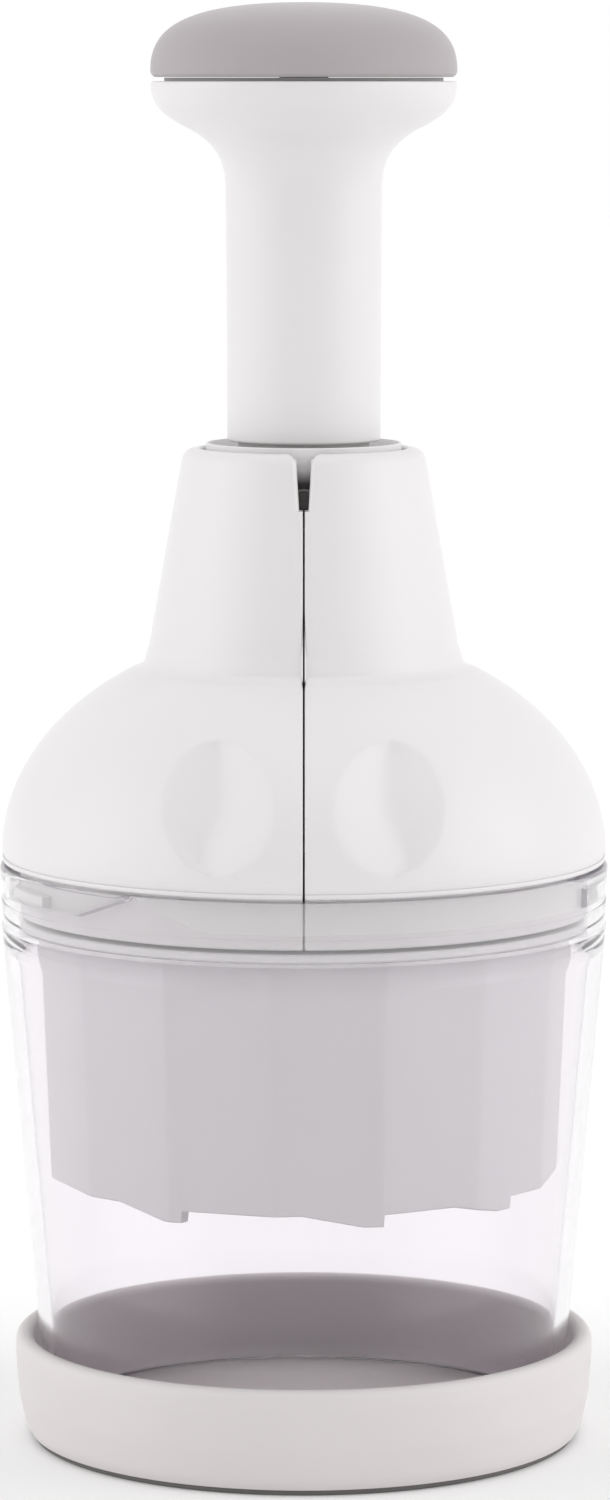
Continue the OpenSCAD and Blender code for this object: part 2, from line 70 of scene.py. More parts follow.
tray_lo, tray_hi = low_high("base_tray")
foot_hi = low_high("tray_foot_ring")[1]
cup_lo, cup_hi = low_high("chopping_cup")
guard_lo, guard_hi = low_high("blade_guard")
shell_lo, shell_hi = low_high("shell_right")
knob_lo, knob_hi = low_high("knob_column")
pad_lo, pad_hi = low_high("grip_pad")
plate_hi = low_high("knob_plate")[1]
spring_lo, spring_hi = low_high("return_spring")
blade_lo, blade_hi = low_high("blade_centre")
pin_lo, pin_hi = low_high("hinge_pin_front")
ring_lo, ring_hi = low_high("stop_ring")

HINGE_Z = (pin_lo[2] + pin_hi[2]) / 2
TRAY_R = tray_hi[0]
CUP_R = cup_hi[0]
RIM_Z = cup_hi[2]
FLANGE_R = guard_hi[0]
DOME_R = shell_hi[0]
KNOB_R = knob_hi[0]
PAD_R = pad_hi[0]


# ---- outline helpers ---------------------------------------------------------

def fillets(corners, steps=6):
    """Outline through (r, z, radius) corners, each rounded with an arc of that radius."""
    pts = np.array([c[:2] for c in corners], float)
    out = []
    count = len(pts)
    for i, (r, z, radius) in enumerate(corners):
        here = pts[i]
        if radius <= 0:
            out.append(here)
            continue
        a = pts[i - 1] - here
        b = pts[(i + 1) % count] - here
        la, lb = np.linalg.norm(a), np.linalg.norm(b)
        a, b = a / la, b / lb
        half = math.acos(max(-1, min(1, a @ b))) / 2
        reach = min(radius / math.tan(half), 0.49 * la, 0.49 * lb)
        radius = reach * math.tan(half)
        middle = (a + b) / np.linalg.norm(a + b)
        centre = here + middle * radius / math.sin(half)
        start, end = here + a * reach - centre, here + b * reach - centre
        sweep = math.atan2(start[0] * end[1] - start[1] * end[0], start @ end)
        for k in range(steps + 1):
            t = sweep * k / steps
            c, s = math.cos(t), math.sin(t)
            out.append(centre + [start[0] * c - start[1] * s, start[0] * s + start[1] * c])
    return [tuple(p) for p in out]


def bezier(p0, p1, p2, p3, steps):
    """Points along a cubic curve, both ends included."""
    p0, p1, p2, p3 = (np.array(p, float) for p in (p0, p1, p2, p3))
    out = []
    for k in range(steps + 1):
        t = k / steps
        u = 1 - t
        out.append(tuple(u**3 * p0 + 3 * t * u * u * p1 + 3 * t * t * u * p2 + t**3 * p3))
    return out


def densify(points, step, closed=True):
    """The same outline with no stretch longer than step."""
    pts = [np.array(p, float) for p in points]
    out = []
    last = len(pts) if closed else len(pts) - 1
    for i in range(last):
        a, b = pts[i], pts[(i + 1) % len(pts)]
        n = max(1, math.ceil(np.linalg.norm(b - a) / step - 1e-9))
        out.extend(a + (b - a) * k / n for k in range(n))
    if not closed:
        out.append(pts[-1])
    return [tuple(p) for p in out]


def clean(points, least=0.002):
    """The closed outline without doubled points."""
    out = []
    for p in points:
        if not out or math.dist(p, out[-1]) > least:
            out.append(p)
    if math.dist(out[0], out[-1]) <= least:
        out.pop()
    return out


# ---- mesh helpers ------------------------------------------------------------

def make_piece(name, verts, faces, material, sharp_deg=38, groups=()):
    """A smooth-shaded mesh object from millimetre points; groups are (material, faces) pairs."""
    mesh = bpy.data.meshes.new(name)
    mesh.from_pydata((np.array(verts, float) * MM).tolist(), [], faces)
    for slot_number, (_, members) in enumerate(groups, 1):
        for index in members:
            mesh.polygons[index].material_index = slot_number
    bm = bmesh.new()
    bm.from_mesh(mesh)
    bmesh.ops.remove_doubles(bm, verts=bm.verts, dist=1e-7)
    bmesh.ops.dissolve_degenerate(bm, edges=bm.edges, dist=1e-7)
    # Caps may be concave, so they are cut into triangles here.
    caps = [face for face in bm.faces if len(face.verts) > 5]
    bmesh.ops.triangulate(bm, faces=caps, ngon_method="EAR_CLIP")
    bmesh.ops.recalc_face_normals(bm, faces=bm.faces)
    bm.to_mesh(mesh)
    bm.free()
    for poly in mesh.polygons:
        poly.use_smooth = True
    mesh.set_sharp_from_angle(angle=math.radians(sharp_deg))
    for each in [material] + [group[0] for group in groups]:
        mesh.materials.append(each)
    obj = bpy.data.objects.new(name, mesh)
    bpy.context.scene.collection.objects.link(obj)
    return obj


def lathe(name, outline, material, phis=EVEN_ANGLES, shape=None):
    """Turned solid from a closed (r, z) outline. shape(phi, r, z) may bend it out of round."""
    outline = clean(outline)
    verts, faces, rows = [], [], []
    for r, z in outline:
        if r < 1e-4:
            rows.append([len(verts)] * len(phis))
            verts.append((0, 0, z))
            continue
        row = []
        for phi in phis:
            rr, zz = (r, z) if shape is None else shape(phi, r, z)
            row.append(len(verts))
            verts.append((rr * math.sin(phi), -rr * math.cos(phi), zz))
        rows.append(row)
    for i in range(len(rows)):
        a, b = rows[i], rows[(i + 1) % len(rows)]
        for k in range(len(phis)):
            m = (k + 1) % len(phis)
            quad = [a[k], a[m], b[m], b[k]]
            face = [v for j, v in enumerate(quad) if v not in quad[:j]]
            if len(face) > 2:
                faces.append(face)
    return make_piece(name, verts, faces, material)


def tube_faces(rows, n):
    """Faces of a bar made of rows of n points, with a cap on each end."""
    faces = []
    for i in range(rows - 1):
        for k in range(n):
            m = (k + 1) % n
            faces.append([i * n + k, i * n + m, (i + 1) * n + m, (i + 1) * n + k])
    last = (rows - 1) * n
    return faces + [list(range(n)), list(range(last, last + n))]


def ring_sector(name, outline, phi0, phi1, material, segments):
    """Closed part of a turned ring between two angles, in degrees."""
    outline = clean(outline)
    verts = []
    for k in range(segments + 1):
        phi = math.radians(phi0 + (phi1 - phi0) * k / segments)
        verts += [(r * math.sin(phi), -r * math.cos(phi), z) for r, z in outline]
    return make_piece(name, verts, tube_faces(segments + 1, len(outline)), material)


def place(piece, body, slot, *nodes):
    """Rides a piece on its body and hides the CAD nodes it stands for; slot is not used."""
    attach(piece, body)
    if nodes:
        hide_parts(*nodes)
    return piece


# ---- materials ----------------------------------------------------------------

DRIFT_SCALE = 35
POLISH_SCALE = 210
PLASTIC_GRAIN_SCALE = 1900
GRAIN_STRENGTH = 0.35
CLEAR_INDEX = 1.12
COAT_INDEX = 1.5


def new_material(name):
    """An empty node material, its node tree and its surface shader."""
    mat = bpy.data.materials.new(name)
    mat.use_nodes = True
    tree = mat.node_tree
    shader = tree.nodes["Principled BSDF"]
    return mat, tree, shader


def add_noise(tree, scale, detail=3.0, stretch=(1, 1, 1)):
    """Noise factor in object space, scale in features per metre."""
    coords = tree.nodes.new("ShaderNodeTexCoord")
    mapping = tree.nodes.new("ShaderNodeMapping")
    mapping.inputs["Scale"].default_value = stretch
    noise = tree.nodes.new("ShaderNodeTexNoise")
    noise.inputs["Scale"].default_value = scale
    noise.inputs["Detail"].default_value = detail
    tree.links.new(coords.outputs["Object"], mapping.inputs["Vector"])
    tree.links.new(mapping.outputs["Vector"], noise.inputs["Vector"])
    return noise.outputs["Fac"]


def add_range(tree, factor, low, high):
    """Factor mapped from 0..1 to low..high."""
    ranger = tree.nodes.new("ShaderNodeMapRange")
    ranger.inputs["To Min"].default_value = low
    ranger.inputs["To Max"].default_value = high
    tree.links.new(factor, ranger.inputs["Value"])
    return ranger.outputs["Result"]


def add_smooth(tree, value, start, end, low, high):
    """Value mapped from start..end to low..high with soft ends."""
    ranger = tree.nodes.new("ShaderNodeMapRange")
    ranger.interpolation_type = "SMOOTHSTEP"
    ranger.inputs["From Min"].default_value = start
    ranger.inputs["From Max"].default_value = end
    ranger.inputs["To Min"].default_value = low
    ranger.inputs["To Max"].default_value = high
    tree.links.new(value, ranger.inputs["Value"])
    return ranger.outputs["Result"]


def add_tone(tree, factor, dark, light):
    """Colour between dark and light, led by a factor."""
    ramp = tree.nodes.new("ShaderNodeValToRGB")
    ramp.color_ramp.elements[0].color = (*dark, 1)
    ramp.color_ramp.elements[1].color = (*light, 1)
    ramp.color_ramp.elements[0].position = 0.3
    ramp.color_ramp.elements[1].position = 0.7
    tree.links.new(factor, ramp.inputs["Fac"])
    return ramp.outputs["Color"]


def add_bump(tree, shader, factor, strength, distance):
    """Relief on a shader, distance in metres."""
    bump = tree.nodes.new("ShaderNodeBump")
    bump.inputs["Strength"].default_value = strength
    bump.inputs["Distance"].default_value = distance
    tree.links.new(factor, bump.inputs["Height"])
    tree.links.new(bump.outputs["Normal"], shader.inputs["Normal"])


def add_polish(tree, shader, rough):
    """Uneven polish round a mean roughness."""
    polish = add_noise(tree, POLISH_SCALE, 4)
    tree.links.new(add_range(tree, polish, rough * 0.88, rough * 1.12), shader.inputs["Roughness"])


def moulded(name, colour, spread, rough, grain_scale, grain_depth, specular=0.45, sheen=0.0):
    """Moulded plastic or rubber: faint tone drift, uneven polish and a fine grain."""
    mat, tree, shader = new_material(name)
    drift = add_noise(tree, DRIFT_SCALE, 2)
    dark = tuple(c * (1 - spread) for c in colour)
    light = tuple(min(1, c * (1 + spread)) for c in colour)
    tree.links.new(add_tone(tree, drift, dark, light), shader.inputs["Base Color"])
    add_polish(tree, shader, rough)
    add_bump(tree, shader, add_noise(tree, grain_scale, 3), GRAIN_STRENGTH, grain_depth)
    shader.inputs["Specular IOR Level"].default_value = specular
    if sheen:
        shader.inputs["Sheen Weight"].default_value = sheen
        shader.inputs["Sheen Roughness"].default_value = 0.35
    return mat


def metal(name, colour, rough, stretch, grain_scale, grain_depth):
    """Bare metal with a drawn or tumbled surface."""
    mat, tree, shader = new_material(name)
    grain = add_noise(tree, grain_scale, 5, stretch)
    dark = tuple(c * 0.9 for c in colour)
    tree.links.new(add_tone(tree, grain, dark, colour), shader.inputs["Base Color"])
    tree.links.new(add_range(tree, grain, rough * 0.75, rough * 1.3), shader.inputs["Roughness"])
    add_bump(tree, shader, grain, 0.4, grain_depth)
    shader.inputs["Metallic"].default_value = 1.0
    return mat


def painted_height_shade(name, dark, light, low_z, high_z, rough):
    """Moulded plastic with painted shade: its tone runs from the dark shade colour at low_z to the
    light colour at high_z, heights in metres.
    """
    mat, tree, shader = new_material(name)
    coords = tree.nodes.new("ShaderNodeTexCoord")
    split = tree.nodes.new("ShaderNodeSeparateXYZ")
    tree.links.new(coords.outputs["Object"], split.inputs["Vector"])
    rise = add_smooth(tree, split.outputs["Z"], low_z, high_z, 0, 1)
    tree.links.new(add_tone(tree, rise, dark, light), shader.inputs["Base Color"])
    add_polish(tree, shader, rough)
    add_bump(tree, shader, add_noise(tree, PLASTIC_GRAIN_SCALE, 3), GRAIN_STRENGTH, 0.00003)
    return mat


def clear_plastic(name, tint, clear=1.0):
    """Polished clear styrene with a trace of lavender. Darker, less clear copies paint shade as lines
    on cut edges; a whiter, milky copy paints light on the shaded skirt seen through the collar.
    """
    mat, tree, shader = new_material(name)
    swirl = add_noise(tree, 60, 2)
    tree.links.new(add_range(tree, swirl, 0.015, 0.045), shader.inputs["Roughness"])
    add_bump(tree, shader, add_noise(tree, 25, 1), 0.08, 0.0002)
    shader.inputs["Base Color"].default_value = (*tint, 1)
    shader.inputs["Transmission Weight"].default_value = clear
    shader.inputs["IOR"].default_value = CLEAR_INDEX
    shader.inputs["Coat Weight"].default_value = 0.5
    shader.inputs["Coat IOR"].default_value = COAT_INDEX
    shader.inputs["Coat Roughness"].default_value = 0.03
    return mat


HEAD_TONE = (0.79, 0.772, 0.778)
# Painted shade: parts in the V notch and round the column fade from head white to near black towards
# the bottom, standing in for the shade down there.
NOTCH_SHADE_TONE = (0.05, 0.04, 0.038)
NOTCH_SHADE_DEEPEST_Z, NOTCH_SHADE_END_Z = 0.1648, 0.173
SHELL_WHITE = moulded("shell_white", HEAD_TONE, 0.008, 0.34, 2600, 0.00002, 0.5)
GUARD_WHITE = moulded("guard_white", (0.80, 0.79, 0.795), 0.01, 0.42, 2200, 0.00002, 0.4)
TRAY_WHITE = moulded("tray_white", (0.725, 0.69, 0.685), 0.012, 0.5, 1800, 0.00003, 0.35)
INNER_GREY = moulded("inner_grey", (0.60, 0.58, 0.575), 0.02, 0.45, PLASTIC_GRAIN_SCALE, 0.00003, 0.4)
SOFT_GREY = moulded("soft_grey", (0.425, 0.392, 0.402), 0.015, 0.62, 3200, 0.00004, 0.35, 0.3)
FOOT_RUBBER = moulded("foot_rubber", (0.16, 0.15, 0.15), 0.05, 0.7, 2600, 0.00005, 0.3)
NOTCH_PAINTED_SHADE = painted_height_shade("notch_painted_shade", NOTCH_SHADE_TONE, HEAD_TONE, NOTCH_SHADE_DEEPEST_Z, NOTCH_SHADE_END_Z, 0.4)
CLEAR_CUP = clear_plastic("clear_cup", (0.955, 0.936, 0.957))
# Painted light: the collar's whiter, milky tint lifts the shaded skirt seen through it.
CLEAR_COLLAR_PAINTED_LIGHT = clear_plastic("clear_cup_collar_painted_light", (1.0, 0.99, 0.998), 0.83)
# Painted shade: darker, less clear tints draw dark lines along the rim, the ledge and the pocket edges.
CLEAR_RIM_PAINTED_SHADE = clear_plastic("clear_cup_rim_painted_shade", (0.60, 0.57, 0.64), 0.5)
CLEAR_EDGE_PAINTED_SHADE = clear_plastic("clear_cup_edge_painted_shade", (0.40, 0.37, 0.44), 0.2)
BLADE_STEEL = metal("blade_steel", (0.70, 0.70, 0.71), 0.24, (1, 1, 40), 300, 0.00001)
PIN_STEEL = metal("pin_steel", (0.10, 0.10, 0.10), 0.5, (1, 1, 1), 1400, 0.00001)
BRIGHT_STEEL = metal("bright_steel", (0.66, 0.66, 0.67), 0.28, (1, 1, 1), 1400, 0.00001)
CAST_ALLOY = metal("cast_alloy", (0.55, 0.56, 0.58), 0.42, (1, 1, 1), 900, 0.00003)
BUSH_BRASS = metal("bush_brass", (0.72, 0.50, 0.22), 0.3, (1, 1, 30), 700, 0.00001)


# ---- camera -------------------------------------------------------------------

CAMERA_LENS = 135.8
CAMERA_SENSOR = 36
CAMERA_PLACE = (0.0002, -0.975, 0.236)
CAMERA_TILT = 6.765


def make_camera():
    """Eye level with the knob seam, tilted down so that the tray fills the foot of the frame."""
    data = bpy.data.cameras.new("camera")
    data.sensor_width = CAMERA_SENSOR
    data.lens = CAMERA_LENS
    data.clip_start, data.clip_end = 0.05, 20
    cam = bpy.data.objects.new("camera", data)
    cam.location = CAMERA_PLACE
    cam.rotation_euler = (math.radians(90 - CAMERA_TILT), 0, 0)
    bpy.context.scene.collection.objects.link(cam)
    bpy.context.scene.camera = cam


make_camera()


# ---- base tray ------------------------------------------------------------------

TRAY_FLOOR_R = 46.9
TRAY_MOUTH_R = 47.35
TRAY_RECESS_R = 43.0
TRAY_UNDER_Z = 1.2
FOOT_RING_BORE = 43.2


def build_tray():
    """Shallow tray with a soft belly, a rounded rim and a groove for the foot ring."""
    r, top, bottom = TRAY_R, tray_hi[2], tray_lo[2]
    floor = cup_lo[2] - 0.3
    groove_r, groove_z = foot_hi[0] + 0.1, foot_hi[2] + 0.1
    corners = [
        (0, floor, 0), (TRAY_FLOOR_R, floor, 2.2), (TRAY_MOUTH_R, top, 1.5), (r - 0.05, top, 1.5),
        (r, top - 3.6, 3), (r - 0.5, 8, 8), (r - 1.6, 2.6, 5), (r - 2.5, bottom, 0.5),
        (groove_r, bottom, 0), (groove_r, groove_z, 0),
        (TRAY_RECESS_R, groove_z, 0), (TRAY_RECESS_R, TRAY_UNDER_Z, 0.3), (0, TRAY_UNDER_Z, 0)]
    tray = lathe("base_tray_moulding", fillets(corners, 8), TRAY_WHITE)
    place(tray, "tray", "tray_white", "base_tray")


def build_foot_ring():
    """Rubber ring under the tray."""
    inner, outer, top = FOOT_RING_BORE, foot_hi[0], foot_hi[2]
    corners = [(inner, 0, 0.5), (outer, 0, 0.5), (outer, top, 0.1), (inner, top, 0.1)]
    ring = lathe("foot_ring_rubber", fillets(corners, 5), FOOT_RUBBER)
    place(ring, "tray", "foot_rubber", "tray_foot_ring")


build_tray()
build_foot_ring()


# ---- clear cup --------------------------------------------------------------------

LEDGE_Z = guard_hi[2] - 6.6
LEDGE_R = 47.6
COLLAR_BORE = 49.6
RIM_EDGE_Z = RIM_Z - 0.8
POCKET_R = 51.2
POCKET_LOW_Z = 95.4
POCKET_RAMP_Z = 96.3
POCKET_SLOPE = 0.15
SLOT_TOP = 98.6
# Angles where each bayonet pocket starts, opens upwards, begins its ramp and ends.
POCKETS = [(-112, -80, -48, -34.5), (69, 100, 132, 145.5)]
CUP_BASE_R = 44.8
CUP_TAPER = 0.0852
CUP_COLUMN_STEP = 2.0
MARK_MARGIN = 0.12
CUP_SHARP = 28


def cup_outside(z):
    """Outer radius of the cup's tapered wall at a height."""
    return CUP_BASE_R + CUP_TAPER * z


def pocket_floor(phi, start, ramp, end):
    """Height of a pocket's floor: it falls gently from the ramp to the locked end."""
    if phi > ramp:
        return POCKET_RAMP_Z + (RIM_EDGE_Z - POCKET_RAMP_Z) * (phi - ramp) / (end - ramp)
    return POCKET_LOW_Z + (POCKET_RAMP_Z - POCKET_LOW_Z) * (phi - start) / (ramp - start)


def collar_levels(phi):
    """Pocket floor, pocket roof, bore between them and bore above, at an angle in degrees."""
    for start, open_at, ramp, end in POCKETS:
        if start <= phi <= end:
            floor = pocket_floor(phi, start, ramp, end)
            if phi < open_at:
                return floor, SLOT_TOP, POCKET_R, COLLAR_BORE
            closing = min(1, (end - phi) / 3)
            edge = COLLAR_BORE + (POCKET_R - COLLAR_BORE) * closing
            return floor, RIM_EDGE_Z, edge, edge
    past = min(min((phi - end) % 360 for _, _, _, end in POCKETS) / 15, 1)
    floor = RIM_EDGE_Z + (POCKET_LOW_Z - RIM_EDGE_Z) * past
    return floor, RIM_EDGE_Z + (SLOT_TOP - RIM_EDGE_Z) * past + 0.1, COLLAR_BORE, COLLAR_BORE


def rim_quarter(middle_r, start, soft):
    """Quarter of the rim's rounding round a middle radius, from a start angle in degrees."""
    turns = [math.radians(start + 15 * k) for k in range(7)]
    return [(middle_r + soft * math.cos(a), RIM_Z - soft + soft * math.sin(a)) for a in turns]


def build_cup():
    """Outer wall, rim and inner wall, row by row; the collar's rows follow the bayonet pockets."""
    marks = [mark for pocket in POCKETS for mark in pocket]
    angles = [a for a in np.arange(-180, 180, CUP_COLUMN_STEP) if min(abs(a - m) for m in marks) > 0.5]
    for m in marks:
        angles += [m - MARK_MARGIN, m + MARK_MARGIN]
    angles.sort()
    foot = cup_lo[2]
    outer = fillets([(42.8, foot, 0.5), (cup_outside(foot) - 0.05, foot, 0.8),
                     (cup_outside(LEDGE_Z) + 0.05, LEDGE_Z, 0.5),
                     (cup_outside(LEDGE_Z) - 0.25, LEDGE_Z + 0.5, 0.4),
                     (CUP_R, RIM_Z - 2.4, 3)], 5)[6:]
    inner_low = fillets([(COLLAR_BORE, LEDGE_Z, 0.4), (LEDGE_R, LEDGE_Z, 0.35),
                         (LEDGE_R, LEDGE_Z - 0.9, 0.5),
                         (cup_outside(LEDGE_Z - 4) - 2.5, LEDGE_Z - 4, 4),
                         (42.75, foot + 0.5, 0)], 5)[:-1]
    verts, columns, in_pocket = [], [], []
    for deg in angles:
        floor, roof, mid_r, top_r = collar_levels(deg)
        roof = min(roof, RIM_EDGE_Z)
        tilt = 0.05 + POCKET_SLOPE * min(1, max(0, mid_r - COLLAR_BORE) / 0.8)
        soft = min(0.7, (CUP_R - top_r) / 2)
        rows = outer + rim_quarter(CUP_R - soft, 0, soft)
        rim_row = len(rows) - 1
        rows += rim_quarter(top_r + soft, 90, soft)
        roof_row = len(rows)
        rows += [(top_r, roof + 0.05), (mid_r, roof - 0.05),
                 (mid_r, floor + tilt), (COLLAR_BORE, floor - tilt)]
        ledge_rows = range(len(rows) + 3, len(rows) + 7)
        rows += inner_low + [(42.6, foot + 0.5), (42.9, foot)]
        phi = math.radians(deg)
        columns.append([len(verts) + k for k in range(len(rows))])
        in_pocket.append(mid_r > COLLAR_BORE + 0.3)
        verts += [(r * math.sin(phi), -r * math.cos(phi), z) for r, z in rows]
    faces, painted_shade_edge_faces, painted_shade_rim_faces, painted_light_collar_faces = [], [], [], []
    n = len(columns[0])
    for c in range(len(columns)):
        d = (c + 1) % len(columns)
        a, b = columns[c], columns[d]
        for k in range(n):
            m = (k + 1) % n
            # Painted shade: pocket floors, roofs and end walls, the rim top and the ledge get the
            # darker tints that draw the edge lines.
            pocket_face = in_pocket[c] and in_pocket[d] and k in (roof_row, roof_row + 2)
            end_wall = in_pocket[c] != in_pocket[d] and k == roof_row + 1
            if pocket_face or end_wall:
                painted_shade_edge_faces.append(len(faces))
            elif k == rim_row or k in ledge_rows:
                painted_shade_rim_faces.append(len(faces))
            # Painted light: collar faces get the whiter, milky tint that lifts the shaded skirt behind
            # them.
            elif min(verts[v][2] for v in (a[k], a[m])) > LEDGE_Z - 0.1:
                painted_light_collar_faces.append(len(faces))
            faces.append([a[k], b[k], b[m], a[m]])
    groups = ((CLEAR_EDGE_PAINTED_SHADE, painted_shade_edge_faces), (CLEAR_RIM_PAINTED_SHADE, painted_shade_rim_faces), (CLEAR_COLLAR_PAINTED_LIGHT, painted_light_collar_faces))
    cup = make_piece("clear_cup_moulding", verts, faces, CLEAR_CUP, CUP_SHARP, groups)
    place(cup, "cup", "clear_cup", "chopping_cup")


build_cup()


# ---- blade guard --------------------------------------------------------------------

SIDES = 15
CORNER_PHI = 17.3
CORNER_SOFTNESS = 450
TOOTH_DEPTH = 2.0
TOOTH_SPAN = 18.0
TOOTH_SLOPE = 13.5
TOOTH_ENDS = [-27.8, 17.7, 53.6, 117, 162, 207, 252]
GUARD_LOW_R = 44.3
GUARD_HIGH_R = 46.2
GUARD_BORE = 40.2
FACET_START_R = 41.4
COLUMN_STEPS = (0, 0.5, 1, 1.6, 2.4, 4, 7, 10, 12, 14, 17, 20, 21.6, 22.4, 23, 23.5)


def guard_round(phi):
    """Radius of the many-sided outline at an angle, 1 at a sharp corner."""
    flat = math.cos(math.pi / SIDES)
    total = 0.0
    for i in range(SIDES):
        centre = math.radians(CORNER_PHI + (i + 0.5) * 360 / SIDES)
        total += math.exp(CORNER_SOFTNESS * (math.cos(phi - centre) / flat - 1))
    return 1 / (1 + math.log(total) / CORNER_SOFTNESS)


def tooth_drop(phi):
    """How far the teeth hang below the guard's lower edge, at an angle in degrees."""
    back = min((end - phi) % 360 for end in TOOTH_ENDS)
    return TOOTH_DEPTH * min(1, max(0, (TOOTH_SPAN - back) / TOOTH_SLOPE))


def build_guard():
    """Many-sided guard with sloping teeth, its flange and the bead the head turns over."""
    foot, top = guard_lo[2] + TOOTH_DEPTH, guard_hi[2]
    flange0, flange1 = top - 6.4, top - 5
    neck_r, bead_r, bead_z = 45, 46.6, top - 1.5
    step_r, groove_r, groove_low, groove_high = 40.45, 41.25, 53.7, 56.5
    corners = [
        (GUARD_BORE, foot, 0.45), (41.1, foot, 0), (41.6, foot, 0), (GUARD_LOW_R, foot, 0.45),
        (GUARD_HIGH_R, flange0, 0.6), (FLANGE_R, flange0, 0.35), (FLANGE_R, flange1, 0.45),
        (neck_r, flange1, 0.6), (neck_r, bead_z, 0.2), (bead_r, bead_z, 0.4), (bead_r, top, 0.5),
        (43.6, top, 0.6), (41, 57.9, 0.5), (step_r, 57.3, 0.2), (step_r, groove_high, 0.1),
        (groove_r, groove_high, 0.1), (groove_r, groove_low, 0.1), (GUARD_BORE, groove_low, 0.2)]
    outline = densify(fillets(corners, 6), 6)
    rows_at = {}

    def shape(phi, r, z):
        """Hangs the teeth from the lower edge and flattens the wall between its corners."""
        if z < foot + 0.9 and r > 41.5:
            z -= tooth_drop(math.degrees(phi))
        if not (FACET_START_R < r < GUARD_HIGH_R + 0.05 and z < flange0 + 0.01):
            return r, z
        key = round(phi, 5)
        if key not in rows_at:
            rows_at[key] = guard_round(phi)
        fade = min(1, max(0, (r - FACET_START_R) / 0.8))
        return r * (1 + (rows_at[key] - 1) * fade), z

    marks = []
    for end in TOOTH_ENDS:
        marks += [(end + d) % 360 for d in (-0.1, 0.1, TOOTH_SLOPE - TOOTH_SPAN, -TOOTH_SPAN)]
    degrees = list(marks)
    for i in range(SIDES):
        corner = CORNER_PHI + i * 360 / SIDES
        for d in COLUMN_STEPS:
            here = (corner + d) % 360
            if min(abs(here - m) for m in marks) > 0.15:
                degrees.append(here)
    phis = [math.radians(d) for d in sorted(degrees)]
    guard = lathe("blade_guard_moulding", outline, GUARD_WHITE, phis, shape)
    place(guard, "guard", "guard_white", "blade_guard")


build_guard()


# ---- head shells ----------------------------------------------------------------------

SEAM_HALF = 0.15
SKIRT_R = 49.2
SKIRT_BORE = 47.1
DOME_RISE = 38.5
DOME_Z = 103.0
DOME_EDGE_Z = 101.5
SHELL_WALL = 3.2
NECK_WALL = 2.2
NECK_LOW_R = 27.0
NECK_HIGH_R = 21.4
NECK_BORE = 17.8
NECK_FOOT_Z = 137.5
NECK_BEND = (NECK_HIGH_R - 0.7, 172.5)
NOTCH_HALF = 0.78
NOTCH_SLOPE = math.tan(math.radians(3.3))
FLARE_HEIGHT = 2.4
FLARE_WIDTH = 1.5
LUG_PHI = {-1: -68, 1: 112}
LUG_REACH = 8
HOOK_REACH = 60
KNUCKLE_R = 3.0
KNUCKLE_WIDTH = 1.0
# Distance of each shell's knuckles from the axis, and how far their arms reach sideways.
KNUCKLE_Y = {-1: 18.3, 1: 17.1}
KNUCKLE_REACH = {-1: 9, 1: 12}
# Each cap on the seam is filled band by band between these heights, so that it follows the curve.
CAP_BREAKS = (106, 120, 133, NECK_FOOT_Z + 1.5, 150, HINGE_Z, shell_hi[2] - FLARE_HEIGHT)
SHELL_COLUMNS = 230
BEVEL_STEPS = 4
SHELL_SHARP = 32
DIMPLE_X = 14.0
DIMPLE_Z = 116.0
DIMPLE_HALF_W = 9.3
DIMPLE_HALF_H = 10.5
DIMPLE_DEPTH = 2.6


def shell_outlines():
    """Closed outline of the shell wall and a flag for each point on the visible outside.

    Each stretch is filleted as if it were closed, so the ends it doesn't need are cut off again.
    """
    neck_top = shell_hi[2]
    skirt_z = shell_lo[2] - 0.3
    low = fillets([(SKIRT_BORE, skirt_z, 0.5), (SKIRT_R, skirt_z, 0.5),
                   (SKIRT_R, DOME_EDGE_Z, 0.15), (DOME_R - 0.05, DOME_EDGE_Z, 0.5),
                   (DOME_R - 0.02, DOME_Z, 1.0)], 4)[5:]
    dome = [(DOME_R * math.cos(a), DOME_Z + DOME_RISE * math.sin(a))
            for a in np.radians(np.arange(1, 55.6, 1.0))]
    foot = bezier(dome[-1], (28.4, 135.0), (27.4, 135.6), (NECK_LOW_R, NECK_FOOT_Z), 10)[1:]
    lip_z = neck_top - 1.8
    neck = fillets([(NECK_LOW_R, NECK_FOOT_Z, 0), (NECK_HIGH_R, 169, 6), (*NECK_BEND, 2.6),
                    (NECK_BORE, neck_top, 0.5), (NECK_BORE, lip_z, 0.3)], 8)[1:-7]
    outside = low + dome + foot + densify(neck, 0.3, closed=False)
    in_r, in_rise = DOME_R - SHELL_WALL, DOME_RISE - SHELL_WALL
    in_neck_r = NECK_HIGH_R - NECK_WALL
    inside = fillets([(*NECK_BEND, 0), (NECK_BORE, neck_top, 0), (NECK_BORE, lip_z, 0.3),
                      (in_neck_r - 0.3, neck_top - 2.2, 0.8), (in_neck_r, 168.5, 0.5),
                      (NECK_LOW_R - NECK_WALL, NECK_FOOT_Z - 2, 2)], 5)[2:]
    inside += [(in_r * math.cos(a), DOME_Z + in_rise * math.sin(a))
               for a in np.radians(np.arange(54, 3, -3.0))]
    inside += fillets([(in_r, DOME_Z + 2, 0), (SKIRT_BORE, DOME_Z + 0.6, 0.4),
                       (SKIRT_BORE, skirt_z, 0.5), (SKIRT_R, skirt_z, 0.5)], 4)[1:-5]
    out_pts = clean(densify(outside, 0.75, closed=False))
    in_pts = clean(densify(inside, 3.0, closed=False))
    flags = [True] * len(out_pts) + [False] * len(in_pts)
    return out_pts + in_pts, flags


